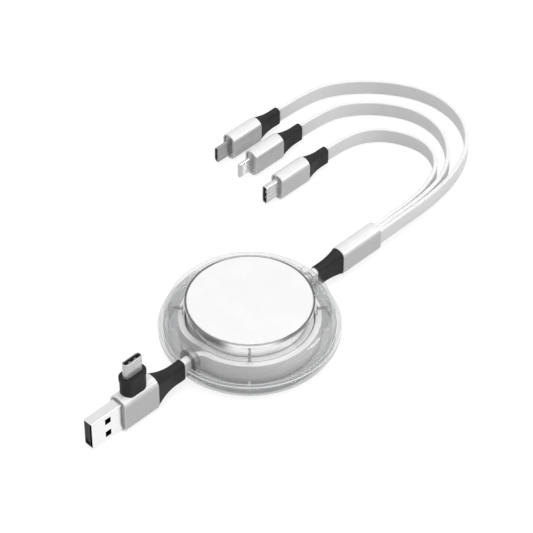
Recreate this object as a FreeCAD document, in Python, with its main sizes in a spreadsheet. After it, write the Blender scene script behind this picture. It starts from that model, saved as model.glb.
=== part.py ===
"""Retractable multi charging cable: a clear puck with a spring reel, a host end and three leads.

Millimetres. The origin is under the middle of the puck, on the surface that it rests on. The flat
cable runs along X through the puck: the host plug points to -X, the leads leave towards +X.
"""
import FreeCAD, Part

import math
import os

import Sketcher

# Driving dimensions, in millimetres
SIZES = {
    # Puck: a tray with an open rim, and a clear dome that stands in it
    "puck_radius": 33.4,
    "waist_inset": 0.2,
    "puck_waist_height": 4.6,
    "puck_waist_round": 4.0,
    "low_inset": 1.8,
    "puck_low_round": 0.9,
    "foot_inset": 4.6,
    "foot_height": 1.7,
    "rim_width": 2.1,
    "rim_height": 7.5,
    "rim_round": 0.35,
    "seam_clearance": 0.1,
    "moat_floor": 3.3,
    "well_inset": 7.3,
    "well_floor": 2.2,
    "dome_lean": 0.2,
    "dome_wall": 1.6,
    "shoulder_height": 15.0,
    "shoulder_round": 4.5,
    "roof_height": 17.6,
    "roof_thickness": 1.2,
    "rib_thickness": 0.9,
    "rib_setback": 0.3,
    "rib_height": 0.8,
    "rib_bite": 0.2,
    "fin_inset": 2.1,
    "fin_clearance": 0.8,
    # Lid and bright collar
    "lid_inset": 10.6,
    "lid_thickness": 0.9,
    "lid_round": 0.3,
    "lid_clearance": 0.1,
    "collar_lip": 0.6,
    "collar_lip_rise": 0.12,
    "collar_bevel": 0.25,
    "collar_flange": 0.4,
    "collar_flange_width": 2.6,
    "collar_wall": 0.8,
    "collar_step": 0.9,
    "collar_lean": 0.7,
    # Flat cable and its turns
    "cable_width": 6.4,
    "main_thickness": 2.2,
    "turn_pitch": 2.6,
    "turn_inset": 1.3,
    "entry_bend": 5.0,
    "shift_bend": 15.0,
    "turn_clearance": 0.3,
    # Reel
    "post_radius": 3.2,
    "post_clearance": 0.25,
    "running_gap": 0.3,
    "hub_radius": 8.6,
    "flange_clearance": 0.5,
    "barrel_wall": 1.0,
    "barrel_floor": 1.2,
    "barrel_depth": 4.8,
    "spring_strip": 0.35,
    "spring_pitch": 1.6,
    "ball_diameter": 2.2,
    "ball_inset": 13.1,
    "track_depth": 0.8,
    "track_clearance": 0.2,
    "slot_floor": 0.9,
    # Ports
    "port_clearance": 0.3,
    "port_round": 1.6,
    "guide_wall": 1.9,
    "guide_depth": 2.4,
    "guide_setback": 0.2,
    "guide_clearance": 0.05,
    "neck_height": 8.0,
    "neck_thickness": 3.2,
    "neck_round": 1.3,
    "neck_insert": 0.4,
    "tail_length": 1.2,
    # Plug and splitter bodies
    "sleeve_wall": 0.7,
    "sleeve_edge": 0.25,
    "core_recess": 0.7,
    "core_clearance": 0.05,
    "relief_inset": 0.25,
    # Host end
    "host_height": 15.2,
    "host_thickness": 8.0,
    "host_round": 3.4,
    "host_length": 16.0,
    "host_relief_length": 14.4,
    "host_relief_gap": 0.8,
    "host_end_height": 8.8,
    "host_end_thickness": 3.9,
    "relief_round": 1.5,
    # Type A plug
    "a_width": 12.0,
    "a_height": 4.5,
    "a_round": 0.5,
    "a_wall": 0.35,
    "a_reach": 14.0,
    "a_seat": 4.0,
    "a_window": 2.6,
    "a_window_pitch": 6.0,
    "a_window_place": 7.2,
    "a_tongue": 1.8,
    "a_tongue_setback": 0.8,
    "a_contact_width": 1.0,
    "a_contact_thickness": 0.15,
    "a_contact_length": 8.0,
    "a_contact_pitch": 2.4,
    # Type C plug, on the host post and on the third lead
    "c_width": 8.34,
    "c_height": 2.56,
    "c_wall": 0.3,
    "c_reach": 6.65,
    "c_seat": 2.0,
    "c_slot_width": 6.3,
    "c_slot_height": 0.8,
    "c_slot_depth": 5.0,
    "c_contact_length": 1.6,
    "c_contact_width": 0.9,
    "c_contact_thickness": 0.4,
    "c_contact_pitch": 2.6,
    # Post on the host end
    "post_place": 7.4,
    "post_length": 10.6,
    "post_thickness": 5.8,
    "post_height": 7.4,
    "post_lip": 0.25,
    "post_lip_height": 1.6,
    # Splitter
    "splitter_height": 11.8,
    "splitter_thickness": 6.6,
    "splitter_round": 3.0,
    "splitter_length": 20.0,
    "splitter_relief_length": 12.0,
    "splitter_relief_gap": 0.4,
    # Leads and their plugs
    "lead_thickness": 1.6,
    "lead_spacing": 1.75,
    "plug_height": 11.4,
    "plug_thickness": 6.4,
    "plug_round": 3.0,
    "plug_length": 15.0,
    "plug_relief_length": 11.6,
    "plug_end_height": 7.8,
    "plug_end_thickness": 3.4,
    "micro_place_x": 64.5,
    "micro_place_y": 76.8,
    "tab_place_x": 63.7,
    "tab_place_y": 63.7,
    "usbc_place_x": 60.9,
    "usbc_place_y": 46.8,
    # Micro plug
    "micro_width": 6.85,
    "micro_height": 1.85,
    "micro_corner": 0.75,
    "micro_wall": 0.25,
    "micro_reach": 6.8,
    # Eight-contact tab
    "tab_width": 6.7,
    "tab_height": 1.5,
    "tab_reach": 6.8,
    "tab_tip_round": 0.5,
    "pad_width": 0.45,
    "pad_length": 2.0,
    "pad_pitch": 0.68,
    "pad_thickness": 0.06,
    "pad_setback": 1.5,
}

# Routes of the leads between their two ends, points chosen by hand (x, y, height of the middle)
MICRO_ROUTE = [
    (79.0, -1.75, 7.6), (98.0, -1.9, 5.2), (117.5, 2.0, 3.5), (134.3, 12.0, 3.3), (144.2, 28.0, 3.3),
    (144.8, 46.5, 3.3), (135.3, 63.5, 3.3), (120.0, 75.2, 4.0), (104.5, 76.8, 5.7),
]
TAB_ROUTE = [
    (77.0, 0.0, 7.6), (93.0, 1.5, 5.3), (109.0, 5.0, 3.6), (122.5, 13.0, 3.3), (131.3, 25.5, 3.3),
    (132.6, 40.0, 3.3), (126.3, 52.9, 3.3), (115.0, 62.0, 4.1), (102.5, 63.7, 5.7),
]
USBC_ROUTE = [
    (76.0, 1.75, 7.6), (90.5, 3.4, 5.4), (104.0, 7.0, 3.7), (114.5, 13.2, 3.3), (119.9, 23.5, 3.3),
    (119.5, 34.5, 3.3), (112.6, 43.4, 3.7), (100.2, 46.8, 5.7),
]

RELIEF_STATIONS = (0.0, 0.14, 0.3, 0.46, 0.62, 0.8, 1.0)
RELIEF_WAIST = 0.7
RELIEF_HOLLOW = 1.9
FIRST_SHIFT_DEG = 325.0
SECOND_SHIFT_DEG = 120.0
STRAND_END_DEG = 200.0
RIB_ANGLES_DEG = (45.0, 135.0, 225.0, 315.0)
A_CONTACTS = 4
TAB_PADS = 8
TRACK_NOTCHES = 3

doc = FreeCAD.newDocument("multi_charging_cable")
sheet = doc.addObject("Spreadsheet::Sheet", "sizes")
pieces = {}


def fill_sheet():
    for row, (alias, size) in enumerate(SIZES.items(), start=1):
        sheet.set(f"A{row}", alias)
        sheet.set(f"B{row}", str(size))
        sheet.setAlias(f"B{row}", alias)
    doc.recompute()


def number(expression):
    """The value of a sheet expression."""
    value = sheet.evalExpression(expression)
    return float(getattr(value, "Value", value))


def sized(expression):
    """The same expression with every size read from the sheet, as other objects write it."""
    words = []
    for word in expression.split():
        words.append(f"sizes.{word}" if word in SIZES else word)
    return " ".join(words)


# Places that several pieces share
LINE = "( host_height / 2 )"
RIM_INSIDE = "( puck_radius - rim_width )"
DOME_RADIUS = f"( {RIM_INSIDE} - seam_clearance )"
DOME_TOP = f"( {DOME_RADIUS} - dome_lean )"
DOME_INSIDE = f"( {DOME_RADIUS} - dome_wall )"
WELL_RADIUS = "( puck_radius - well_inset )"
OUTER_TURN = f"( {WELL_RADIUS} - turn_inset )"
BALL_TRACK = f"( {WELL_RADIUS} - ball_inset )"
LID_RADIUS = "( puck_radius - lid_inset )"
COLLAR_TOP = f"( {LID_RADIUS} - collar_step )"
COLLAR_LOW = f"( {COLLAR_TOP} - collar_lean )"
ROOF_HOLE = f"( {COLLAR_TOP} + lid_clearance )"
ROOF_SLOPE = f"( ( roof_height - shoulder_height ) / ( {DOME_TOP} - {ROOF_HOLE} ) )"
FLANGE_TOP = f"( {LINE} - cable_width / 2 - running_gap )"
FLANGE_LOW = "( well_floor + running_gap )"
BARREL_LOW = f"( {FLANGE_TOP} + cable_width + turn_clearance )"
BARREL_TOP = f"( {BARREL_LOW} + barrel_floor + barrel_depth )"
INNER_TURN = f"( {OUTER_TURN} - 2 * turn_pitch )"
COIL_RADIUS = f"( {INNER_TURN} - main_thickness / 2 - turn_clearance )"
LID_LOW = "( roof_height + collar_flange )"
NECK_END = f"( {DOME_RADIUS} - neck_insert )"
TAIL_END = f"( {NECK_END} - tail_length )"
HOST_FRONT = "( puck_radius + host_relief_gap + host_relief_length + host_length )"
SPLITTER_FRONT = "( puck_radius + splitter_relief_gap + splitter_relief_length + splitter_length )"


# Sketch and solid helpers

def new_body(label):
    body = doc.addObject("PartDesign::Body", label)
    body.Label = label
    return body


def add_sketch(body, plane, offset="0"):
    """A sketch on one of the body's own origin planes, moved along its normal."""
    sketch = body.newObject("Sketcher::SketchObject", f"{body.Name}_outline")
    for feature in body.Origin.OriginFeatures:
        if feature.Role == plane:
            sketch.AttachmentSupport = [(feature, "")]
    sketch.MapMode = "FlatFace"
    sketch.setExpression("AttachmentOffset.Base.z", sized(offset))
    return sketch


def bind(sketch, expression, kind, *places):
    """Add a dimension to a sketch and tie it to the sheet."""
    index = sketch.addConstraint(Sketcher.Constraint(kind, *places, number(expression)))
    sketch.setExpression(f"Constraints[{index}]", sized(expression))


def join_ends(sketch, edges, kind):
    for edge, following in zip(edges, edges[1:] + edges[:1]):
        sketch.addConstraint(Sketcher.Constraint(kind, edge, 2, following, 1))


def pin_point(sketch, x, y, geometry, end):
    """Tie a point of the sketch to a pair of sheet expressions."""
    if x == "0":
        sketch.addConstraint(Sketcher.Constraint("PointOnObject", geometry, end, -2))
    else:
        bind(sketch, x, "DistanceX", -1, 1, geometry, end)
    if y == "0":
        sketch.addConstraint(Sketcher.Constraint("PointOnObject", geometry, end, -1))
    else:
        bind(sketch, y, "DistanceY", -1, 1, geometry, end)


def corner_cut(before, corner, after, radius):
    """Where a round corner leaves its two sides, and its arc's middle."""
    ahead = (corner - before).normalize()
    onward = (after - corner).normalize()
    reach = radius * math.tan(ahead.getAngle(onward) / 2)
    inward = (onward - ahead).normalize()
    centre = corner + inward * math.hypot(radius, reach)
    return corner - ahead * reach, corner + onward * reach, centre


def draw_polygon(sketch, corners):
    """A closed outline whose corners are pairs of sheet expressions, with a third where one is round."""
    count = len(corners)
    points = [FreeCAD.Vector(number(corner[0]), number(corner[1]), 0) for corner in corners]
    cuts = []
    for index, corner in enumerate(corners):
        radius = number(corner[2]) if len(corner) == 3 else 0.0
        cuts.append(corner_cut(points[index - 1], points[index], points[(index + 1) % count], radius))
    edges = []
    for index in range(count):
        leave = cuts[index][1]
        arrive = cuts[(index + 1) % count][0]
        edges.append(sketch.addGeometry(Part.LineSegment(leave, arrive)))
    for index, corner in enumerate(corners):
        before = edges[index - 1]
        after = edges[index]
        if len(corner) == 2:
            sketch.addConstraint(Sketcher.Constraint("Coincident", before, 2, after, 1))
            pin_point(sketch, corner[0], corner[1], after, 1)
        else:
            round_corner(sketch, before, after, corner, points[index], cuts[index])


def round_corner(sketch, before, after, corner, point, cut_points):
    """Join two sides by a tangent arc, with the sharp corner kept as a point that both sides aim at."""
    arrive, leave, centre = cut_points
    circle = Part.Circle(centre, FreeCAD.Vector(0, 0, 1), arrive.distanceToPoint(centre))
    angles = [math.atan2(end.y - centre.y, end.x - centre.x) for end in (arrive, leave)]
    leftward = math.sin(angles[1] - angles[0]) > 0
    first, last = angles if leftward else reversed(angles)
    arc = sketch.addGeometry(Part.ArcOfCircle(circle, first, last))
    sketch.addConstraint(Sketcher.Constraint("Tangent", before, 2, arc, 1 if leftward else 2))
    sketch.addConstraint(Sketcher.Constraint("Tangent", after, 1, arc, 2 if leftward else 1))
    bind(sketch, corner[2], "Radius", arc)
    sharp = sketch.addGeometry(Part.Point(point), True)
    sketch.addConstraint(Sketcher.Constraint("PointOnObject", sharp, 1, before))
    sketch.addConstraint(Sketcher.Constraint("PointOnObject", sharp, 1, after))
    pin_point(sketch, corner[0], corner[1], sharp, 1)


def draw_round_box(sketch, width, height, radius):
    """A rectangle with round corners about the sketch's origin."""
    half_x = number(width) / 2
    half_y = number(height) / 2
    r = number(radius)
    edges = []
    for turn in range(4):
        angle = turn * math.pi / 2
        flat, reach = (half_x, half_y) if turn % 2 == 0 else (half_y, half_x)
        spin = FreeCAD.Rotation(FreeCAD.Vector(0, 0, 1), math.degrees(angle))
        start = spin.multVec(FreeCAD.Vector(r - flat, -reach, 0))
        end = spin.multVec(FreeCAD.Vector(flat - r, -reach, 0))
        centre = spin.multVec(FreeCAD.Vector(flat - r, r - reach, 0))
        circle = Part.Circle(centre, FreeCAD.Vector(0, 0, 1), r)
        edges.append(sketch.addGeometry(Part.LineSegment(start, end)))
        edges.append(sketch.addGeometry(Part.ArcOfCircle(circle, angle - math.pi / 2, angle)))
    join_ends(sketch, edges, "Tangent")
    low, low_arc, right, right_arc, top, top_arc, left, left_arc = edges
    for flat_edge in (low, top):
        sketch.addConstraint(Sketcher.Constraint("Horizontal", flat_edge))
    for upright in (right, left):
        sketch.addConstraint(Sketcher.Constraint("Vertical", upright))
    for arc in (right_arc, top_arc, left_arc):
        sketch.addConstraint(Sketcher.Constraint("Equal", low_arc, arc))
    sketch.addConstraint(Sketcher.Constraint("Symmetric", low_arc, 3, top_arc, 3, -1, 1))
    bind(sketch, radius, "Radius", low_arc)
    bind(sketch, width, "DistanceX", left, 1, right, 1)
    bind(sketch, height, "DistanceY", low, 1, top, 1)


def draw_slot(sketch, width, height):
    """An upright slot, round at both ends, about the sketch's origin."""
    r = number(f"( {width} ) / 2")
    reach = number(f"( {height} ) / 2") - r
    up = FreeCAD.Vector(0, 0, 1)
    top = Part.Circle(FreeCAD.Vector(0, reach, 0), up, r)
    low = Part.Circle(FreeCAD.Vector(0, -reach, 0), up, r)
    right = sketch.addGeometry(Part.LineSegment(FreeCAD.Vector(r, -reach, 0), FreeCAD.Vector(r, reach, 0)))
    top_arc = sketch.addGeometry(Part.ArcOfCircle(top, 0, math.pi))
    left = sketch.addGeometry(Part.LineSegment(FreeCAD.Vector(-r, reach, 0), FreeCAD.Vector(-r, -reach, 0)))
    low_arc = sketch.addGeometry(Part.ArcOfCircle(low, math.pi, 2 * math.pi))
    join_ends(sketch, [right, top_arc, left, low_arc], "Tangent")
    sketch.addConstraint(Sketcher.Constraint("Vertical", right))
    sketch.addConstraint(Sketcher.Constraint("Vertical", left))
    sketch.addConstraint(Sketcher.Constraint("Symmetric", low_arc, 3, top_arc, 3, -1, 1))
    bind(sketch, f"( {width} ) / 2", "Radius", top_arc)
    bind(sketch, f"{height} - ( {width} )", "DistanceY", low_arc, 3, top_arc, 3)


def round_box(width, height, radius):
    return lambda sketch: draw_round_box(sketch, width, height, radius)


def slot(width, height):
    return lambda sketch: draw_slot(sketch, width, height)


def polygon(corners):
    return lambda sketch: draw_polygon(sketch, corners)


def prism(label, outlines, start, length):
    """Outlines in the YZ plane at X = start, carried along +X. A second outline inside makes a tube."""
    body = new_body(label)
    sketch = add_sketch(body, "YZ_Plane", start)
    for draw in outlines:
        draw(sketch)
    pad = body.newObject("PartDesign::Pad", f"{label}_pad")
    pad.Profile = sketch
    pad.setExpression("Length", sized(length))
    return body


def pocket(body, outline, start, depth):
    """Cut an outline in the YZ plane at X = start, towards +X."""
    sketch = add_sketch(body, "YZ_Plane", start)
    outline(sketch)
    cut = body.newObject("PartDesign::Pocket", f"{body.Name}_pocket")
    cut.Profile = sketch
    cut.Reversed = True
    cut.setExpression("Length", sized(depth))


def revolved(label, corners):
    """An outline of radius and height, turned about Z."""
    body = new_body(label)
    sketch = add_sketch(body, "XZ_Plane")
    draw_polygon(sketch, corners)
    turn = body.newObject("PartDesign::Revolution", f"{label}_turn")
    turn.Profile = sketch
    turn.ReferenceAxis = (sketch, ["V_Axis"])
    turn.Angle = 360
    return body


def lofted(label, sections):
    """Round boxes in YZ planes, given as (x, width, height, radius), joined by one smooth skin."""
    body = new_body(label)
    sketches = []
    for place, width, height, radius in sections:
        sketch = add_sketch(body, "YZ_Plane", place)
        draw_round_box(sketch, width, height, radius)
        sketches.append(sketch)
    loft = body.newObject("PartDesign::AdditiveLoft", f"{label}_loft")
    loft.Profile = sketches[0]
    loft.Sections = sketches[1:]
    return body


def fillet_where(body, radius, chosen):
    """Round those edges of the body that the test picks."""
    doc.recompute()
    base = body.Tip
    names = []
    for index, edge in enumerate(base.Shape.Edges, start=1):
        if chosen(edge):
            names.append(f"Edge{index}")
    fillet = body.newObject("PartDesign::Fillet", f"{body.Name}_round")
    fillet.Base = (base, names)
    fillet.setExpression("Radius", sized(radius))


def in_plane_x(place):
    x = number(place)
    return lambda edge: all(abs(vertex.X - x) < 1e-4 for vertex in edge.Vertexes)


def block(label, length, width, height, x, y, z):
    """A box from its lowest corner."""
    box = doc.addObject("Part::Box", label)
    for name, size in zip(("Length", "Width", "Height"), (length, width, height)):
        box.setExpression(name, sized(size))
    place(box, x, y, z)
    return box


def place(piece, x, y, z):
    for axis, size in zip("xyz", (x, y, z)):
        piece.setExpression(f"Placement.Base.{axis}", sized(size))


def turn_about(piece, axis, degrees):
    piece.Placement = FreeCAD.Placement(FreeCAD.Vector(), FreeCAD.Rotation(FreeCAD.Vector(*axis), degrees))


def cut(label, base, tools):
    result = doc.addObject("Part::Cut", label)
    result.Base = base
    result.Tool = group(f"{label}_tools", tools)
    return result


def fuse(label, shapes):
    result = doc.addObject("Part::MultiFuse", label)
    result.Shapes = shapes
    return result


def group(label, members):
    result = doc.addObject("Part::Compound", label)
    result.Links = members
    return result


def keep(label, piece):
    """Name a finished sub-part."""
    piece.Label = label
    pieces[label] = piece
    return piece


# Flat cable in the plane: a path of straight runs and tangent arcs with a constant thickness

class Ribbon:
    def __init__(self, x, y, heading_deg, thickness):
        self.point = FreeCAD.Vector(x, y, 0)
        self.heading = math.radians(heading_deg)
        self.half = thickness / 2
        self.left = []
        self.right = []
        self.length = 0.0

    def direction(self, turn=0.0):
        return FreeCAD.Vector(math.cos(self.heading + turn), math.sin(self.heading + turn), 0)

    def run(self, length):
        side = self.direction(math.pi / 2) * self.half
        end = self.point + self.direction() * length
        self.left.append(Part.LineSegment(self.point + side, end + side).toShape())
        self.right.append(Part.LineSegment(self.point - side, end - side).toShape())
        self.point = end
        self.length += length

    def bend(self, radius, turn_deg):
        """Turn left for a positive angle, right for a negative one."""
        turn = math.radians(turn_deg)
        hand = math.copysign(1.0, turn)
        centre = self.point + self.direction(hand * math.pi / 2) * radius
        for edges, offset in ((self.left, -hand * self.half), (self.right, hand * self.half)):
            spokes = []
            for part in (0.0, 0.5, 1.0):
                spoke = self.direction(part * turn - hand * math.pi / 2)
                spokes.append(centre + spoke * (radius + offset))
            edges.append(Part.Arc(*spokes).toShape())
        self.point = centre + self.direction(turn - hand * math.pi / 2) * radius
        self.heading += turn
        self.length += radius * abs(turn)

    def solid(self, low, height):
        caps = []
        for index, end in ((0, 0), (-1, 1)):
            left = self.left[index].Vertexes[end].Point
            right = self.right[index].Vertexes[end].Point
            caps.append(Part.LineSegment(left, right).toShape())
        edges = Part.__sortEdges__(self.left + self.right + caps)
        face = Part.Face(Part.Wire(edges))
        face.translate(FreeCAD.Vector(0, 0, low))
        return face.extrude(FreeCAD.Vector(0, 0, height))


def feature_from(label, shape):
    piece = doc.addObject("Part::Feature", label)
    piece.Shape = shape
    return piece


# Housing

def port_tools(label, x_from, length):
    """The slot that the necks pass through, at both ends of the puck."""
    width = "neck_thickness + 2 * port_clearance"
    height = "neck_height + 2 * port_clearance"
    tools = []
    for side, start in (("host", f"- ( {x_from} ) - ( {length} )"), ("leads", x_from)):
        tool = prism(f"{label}_{side}_port", [round_box(width, height, "port_round")], start, length)
        place(tool, "0", "0", LINE)
        tools.append(tool)
    return tools


def arch(label, start, length, spare):
    """The arched block that frames a port, on the moat floor, larger by a spare all round."""
    width = f"( neck_thickness + 2 * port_clearance + 2 * guide_wall + 2 * {spare} )"
    rise = f"( neck_height / 2 + port_clearance + guide_wall + {spare} )"
    head = prism(f"{label}_head", [round_box(width, f"2 * {rise}", f"{width} * 0.45")], start, length)
    place(head, "0", "0", LINE)
    foot = block(
        f"{label}_foot", length, width, f"{LINE} - moat_floor",
        start, f"- {width} / 2", "moat_floor",
    )
    return [head, foot]


def fins(label, outline):
    """Thin upright fins of one outline of radius and height, between the ports."""
    made = []
    for count, angle in enumerate(RIB_ANGLES_DEG, start=1):
        body = new_body(f"{label}_{count}")
        sketch = add_sketch(body, "XZ_Plane")
        draw_polygon(sketch, outline)
        pad = body.newObject("PartDesign::Pad", f"{label}_pad_{count}")
        pad.Profile = sketch
        pad.SideType = "Symmetric"
        pad.setExpression("Length", sized("rib_thickness"))
        turn_about(body, (0, 0, 1), angle)
        made.append(body)
    return made


def base_tray():
    tray = revolved("base_tray_turned", [
        ("0", "0"),
        ("puck_radius - foot_inset", "0"),
        ("puck_radius - foot_inset", "foot_height"),
        ("puck_radius - low_inset", "foot_height", "puck_low_round"),
        ("puck_radius - waist_inset", "puck_waist_height", "puck_waist_round"),
        ("puck_radius", "rim_height", "rim_round"),
        (RIM_INSIDE, "rim_height", "rim_round"),
        (RIM_INSIDE, "moat_floor"),
        (WELL_RADIUS, "moat_floor"),
        (WELL_RADIUS, "well_floor"),
        ("post_radius", "well_floor"),
        ("post_radius", BARREL_TOP),
        ("0", BARREL_TOP),
    ])
    rib_low = "moat_floor - rib_bite"
    rib_top = "moat_floor + rib_height"
    rib_inner = f"{WELL_RADIUS} + rib_setback"
    rib_outer = f"{DOME_INSIDE} - port_clearance"
    ribs = fins("tray_rib", [
        (rib_inner, rib_low), (rib_outer, rib_low), (rib_outer, rib_top), (rib_inner, rib_top),
    ])
    ribbed = fuse("base_tray_ribbed", [tray] + ribs)
    slot_width = "( ball_diameter + track_clearance )"
    ball_slot = block(
        "ball_slot", slot_width, f"{slot_width} + ball_diameter", "well_floor - slot_floor + 1",
        f"- {slot_width} / 2", f"{BALL_TRACK} - ( {slot_width} + ball_diameter ) / 2", "slot_floor",
    )
    ports = port_tools("tray", f"{RIM_INSIDE} - 1", "rim_width + 3")
    keep("base_tray", cut("base_tray", ribbed, ports + [ball_slot]))


def roof_inside(radius):
    """Height of the roof's underside at a radius."""
    return f"( shoulder_height - roof_thickness + ( {DOME_TOP} - {radius} ) * {ROOF_SLOPE} )"


def cover_fins():
    """Fins that hang from the roof beside the wall, trimmed to end inside the dome's thickness."""
    inner = f"( {WELL_RADIUS} - fin_inset )"
    outer = f"( {DOME_INSIDE} + rib_bite )"
    low = f"( {LINE} + cable_width / 2 + fin_clearance )"
    rise = "roof_thickness * 0.4"
    hanging = fins("cover_fin", [
        (inner, low),
        (outer, low),
        (outer, f"{roof_inside(outer)} + {rise}"),
        (inner, f"{roof_inside(inner)} + {rise}"),
    ])
    within = revolved("cover_fin_limit", [
        ("0", "moat_floor"),
        (f"{DOME_RADIUS} - rib_bite", "moat_floor"),
        (f"{DOME_TOP} - rib_bite", "shoulder_height - rib_bite", "shoulder_round"),
        (ROOF_HOLE, "roof_height - rib_bite"),
        ("0", "roof_height - rib_bite"),
    ])
    trimmed = doc.addObject("Part::Common", "cover_fins")
    trimmed.Base = group("cover_fins_long", hanging)
    trimmed.Tool = within
    return trimmed


def clear_cover():
    low = "( moat_floor + seam_clearance )"
    cover = revolved("clear_cover_turned", [
        (DOME_INSIDE, low),
        (DOME_RADIUS, low),
        (DOME_TOP, "shoulder_height", "shoulder_round"),
        (ROOF_HOLE, "roof_height"),
        (ROOF_HOLE, "roof_height - roof_thickness"),
        (DOME_INSIDE, roof_inside(DOME_INSIDE), "shoulder_round - roof_thickness"),
    ])
    openings = []
    for side, start in (("host", f"- {DOME_RADIUS} - 1"), ("leads", f"{DOME_INSIDE} - 2")):
        openings += arch(f"cover_{side}_opening", start, "dome_wall + 3", "guide_clearance")
    finned = fuse("clear_cover_finned", [cover, cover_fins()])
    keep("clear_cover", cut("clear_cover", finned, openings))


def chrome_collar():
    """A bright cone around the barrel, with a bevelled lip that stands round the lid."""
    lip_inside = f"( {LID_RADIUS} + lid_clearance )"
    lip_outside = f"( {lip_inside} + collar_lip )"
    lip_top = f"( {LID_LOW} + lid_thickness + collar_lip_rise )"
    flange_inside = f"( {COLLAR_TOP} - collar_flange_width )"
    low = f"( {LINE} + cable_width / 2 + running_gap )"
    keep("chrome_collar", revolved("chrome_collar", [
        (lip_outside, "roof_height"),
        (lip_outside, f"{lip_top} - collar_bevel"),
        (f"{lip_outside} - collar_bevel", lip_top),
        (f"{lip_inside} + collar_bevel", lip_top),
        (lip_inside, f"{lip_top} - collar_bevel"),
        (lip_inside, LID_LOW),
        (flange_inside, LID_LOW),
        (flange_inside, "roof_height"),
        (f"{COLLAR_TOP} - collar_wall", "roof_height"),
        (f"{COLLAR_LOW} - collar_wall", low),
        (COLLAR_LOW, low),
        (COLLAR_TOP, "roof_height"),
    ]))


def lid_disc():
    top = f"( {LID_LOW} + lid_thickness )"
    keep("lid_disc", revolved("lid_disc", [
        ("0", LID_LOW), (LID_RADIUS, LID_LOW), (LID_RADIUS, top, "lid_round"), ("0", top),
    ]))


def port_guide(side, sign):
    """A clear arch through the dome's wall that the flat cable passes through."""
    outside = f"( {DOME_RADIUS} - guide_setback )"
    inside = f"( {outside} - guide_depth )"
    start = inside if sign > 0 else f"- {outside}"
    whole = fuse(f"{side}_guide_whole", arch(f"{side}_guide", start, "guide_depth", "0"))
    floor_tool = block(
        f"{side}_guide_floor", "guide_depth + 2", "4 * guide_wall + neck_thickness", "moat_floor",
        f"{start} - 1", "- 2 * guide_wall - neck_thickness / 2", "0",
    )
    ports = port_tools(f"{side}_guide", f"{inside} - 1", "guide_depth + 2")
    keep(f"{side}_port_guide", cut(f"{side}_port_guide", whole, ports + [floor_tool]))


def strand(side, turned_deg):
    """The outer turns of one side's flat cable, from the port through an S bend into the coil."""
    outer = number(OUTER_TURN)
    pitch = number("turn_pitch")
    entry = number("entry_bend")
    shift = number("shift_bend")
    start = number(TAIL_END)
    swing = math.degrees(math.acos(entry / (entry + outer)))
    entry_x = math.sqrt((entry + outer) ** 2 - entry ** 2)
    ribbon = Ribbon(-start, 0, 0, number("main_thickness"))
    ribbon.run(start - entry_x)
    ribbon.bend(entry, -swing)
    angle = 270.0 - swing
    for turn_radius, shift_deg in ((outer, FIRST_SHIFT_DEG), (outer - pitch, SECOND_SHIFT_DEG + 360.0)):
        next_radius = turn_radius - pitch
        ease = math.degrees(math.acos((next_radius - shift) / (turn_radius - shift)))
        ribbon.bend(turn_radius, shift_deg - angle)
        ribbon.bend(shift, ease)
        ribbon.run((turn_radius - shift) * math.sin(math.radians(ease)))
        angle = shift_deg + ease
    ribbon.bend(outer - 2 * pitch, STRAND_END_DEG + 360.0 - angle)
    shape = ribbon.solid(number(f"{LINE} - cable_width / 2"), number("cable_width"))
    ratio = shape.Volume / (number("main_thickness * cable_width") * ribbon.length)
    print(f"{side}_strand length {ribbon.length:.1f} volume ratio {ratio:.4f}")
    piece = feature_from(f"{side}_strand", shape)
    turn_about(piece, (0, 0, 1), turned_deg)
    keep(f"{side}_strand", piece)


def latch_ball():
    ball = doc.addObject("Part::Sphere", "latch_ball")
    ball.setExpression("Radius", sized("ball_diameter / 2"))
    place(ball, "0", BALL_TRACK, "slot_floor + ball_diameter / 2")
    keep("latch_ball", ball)


# Reel

def spool_drum():
    bore = "( post_radius + post_clearance )"
    groove_in = f"( {BALL_TRACK} - ball_diameter / 2 - track_clearance )"
    groove_out = f"( {BALL_TRACK} + ball_diameter / 2 + track_clearance )"
    groove_top = f"( {FLANGE_LOW} + track_depth )"
    barrel_in = f"( {COIL_RADIUS} - barrel_wall )"
    drum = revolved("spool_turned", [
        (bore, FLANGE_LOW),
        (groove_in, FLANGE_LOW),
        (groove_in, groove_top),
        (groove_out, groove_top),
        (groove_out, FLANGE_LOW),
        (f"{WELL_RADIUS} - flange_clearance", FLANGE_LOW),
        (f"{WELL_RADIUS} - flange_clearance", FLANGE_TOP),
        ("hub_radius", FLANGE_TOP),
        ("hub_radius", BARREL_LOW),
        (COIL_RADIUS, BARREL_LOW),
        (COIL_RADIUS, BARREL_TOP),
        (barrel_in, BARREL_TOP),
        (barrel_in, f"{BARREL_LOW} + barrel_floor"),
        (bore, f"{BARREL_LOW} + barrel_floor"),
    ])
    notches = []
    for index in range(TRACK_NOTCHES):
        notch = doc.addObject("Part::Cylinder", f"track_notch_{index + 1}")
        notch.setExpression("Radius", sized("ball_diameter / 2 + track_clearance"))
        notch.setExpression("Height", sized("track_depth + 1"))
        angle = 30.0 + index * 360.0 / TRACK_NOTCHES
        place(notch, f"{groove_in} * cos( {angle} deg )", f"{groove_in} * sin( {angle} deg )",
              f"{FLANGE_LOW} - 1")
        notches.append(notch)
    keep("spool_drum", cut("spool_drum", drum, notches))


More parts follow.
